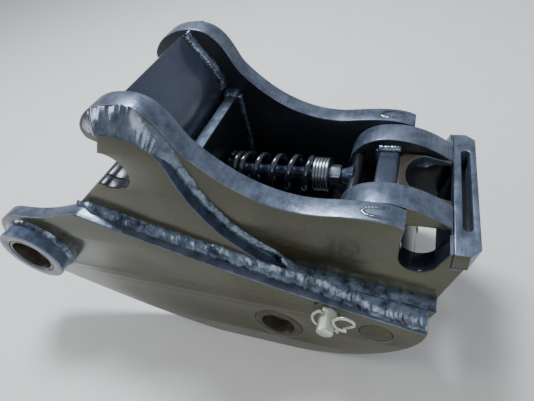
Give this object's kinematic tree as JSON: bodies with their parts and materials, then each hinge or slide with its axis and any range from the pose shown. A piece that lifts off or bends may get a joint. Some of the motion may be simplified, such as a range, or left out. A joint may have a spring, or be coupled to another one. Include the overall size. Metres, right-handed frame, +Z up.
{
  "type": "excavator quick hitch",
  "caption": "Spring-latched quick hitch with side plates, a fixed jaw, a pivoting latch, a lock pin and bushed bores for the dipper and link pins.",
  "frame": {"origin": "centre of the bounding box at the plane of the ears' flat bottoms", "axes": "+X towards the latch end, +Y towards the far side (away from the lock pin's clip), +Z up from the ears' flat bottoms to the bucket side"},
  "size_m": [0.4893, 0.247, 0.2906],
  "materials": {
    "painted_steel": "glossy dark coating over plate with flame-cut edges",
    "bare_steel": "turned",
    "zinc": "bright zinc plated",
    "black_spring": "glossy black"
  },
  "bodies": {
    "frame": {"near_hook_plate": "painted_steel", "near_doubler": "painted_steel", "near_ear": "painted_steel", "near_boss": "painted_steel", "near_boss_liner": "bare_steel", "near_link_bush": "bare_steel", "far_hook_plate": "painted_steel", "far_doubler": "painted_steel", "far_ear": "painted_steel", "far_boss": "painted_steel", "far_boss_liner": "bare_steel", "far_link_bush": "bare_steel", "jaw_plate": "painted_steel", "spring_bracket": "painted_steel", "nose_bar": "painted_steel", "nose_cover": "painted_steel", "bay_floor": "painted_steel", "pivot_pin": "bare_steel"},
    "latch": {"near_latch_plate": "painted_steel", "far_latch_plate": "painted_steel", "latch_cross_bar": "painted_steel", "latch_web": "painted_steel", "latch_hub_tube": "painted_steel"},
    "spring_rod": {"rod_cross_bar": "painted_steel", "spring_rod": "zinc", "rod_nut": "zinc", "spring_washer_1": "zinc", "spring_washer_2": "zinc", "spring_washer_3": "zinc", "spring_washer_4": "zinc", "spring_washer_5": "zinc"},
    "spring": {"latch_spring": "black_spring"},
    "lock_pin": {"lock_pin": "zinc"},
    "r_clip": {"r_clip": "zinc"}
  },
  "joints": [
    {"name": "latch_pivot", "type": "hinge", "parent": "frame", "child": "latch", "pos_m": [0.1737, 0, 0.0706], "axis": [0, -1, 0], "range_deg": [0, 20], "stiffness_Nm_per_rad": 800, "springref_deg": -5.73, "deforming": ["latch_spring"]},
    {"name": "rod_turn", "type": "hinge", "parent": "latch", "child": "spring_rod", "pos_m": [0.141, 0, 0.169], "axis": [0, -1, 0], "range_deg": [-30, 0]},
    {"name": "spring_tilt", "type": "hinge", "parent": "frame", "child": "spring", "pos_m": [0.014, 0, 0.169], "axis": [0, -1, 0], "range_deg": [-10, 0]},
    {"name": "lock_pin_slide", "type": "slide", "parent": "frame", "child": "lock_pin", "axis": [0, 1, 0], "range_m": [0, 0.24]},
    {"name": "clip_pull", "type": "slide", "parent": "frame", "child": "r_clip", "axis": [-0.3382, 0, 0.9411], "range_m": [0, 0.048], "deforming": ["r_clip"]}
  ],
  "couplings": [
    {"joint": "rod_turn", "follows": "latch_pivot", "ratio": -1.5},
    {"joint": "spring_tilt", "follows": "latch_pivot", "ratio": -0.5},
    {"joint": "clip_pull", "follows": "lock_pin_slide", "ratio": 0.2}
  ]
}
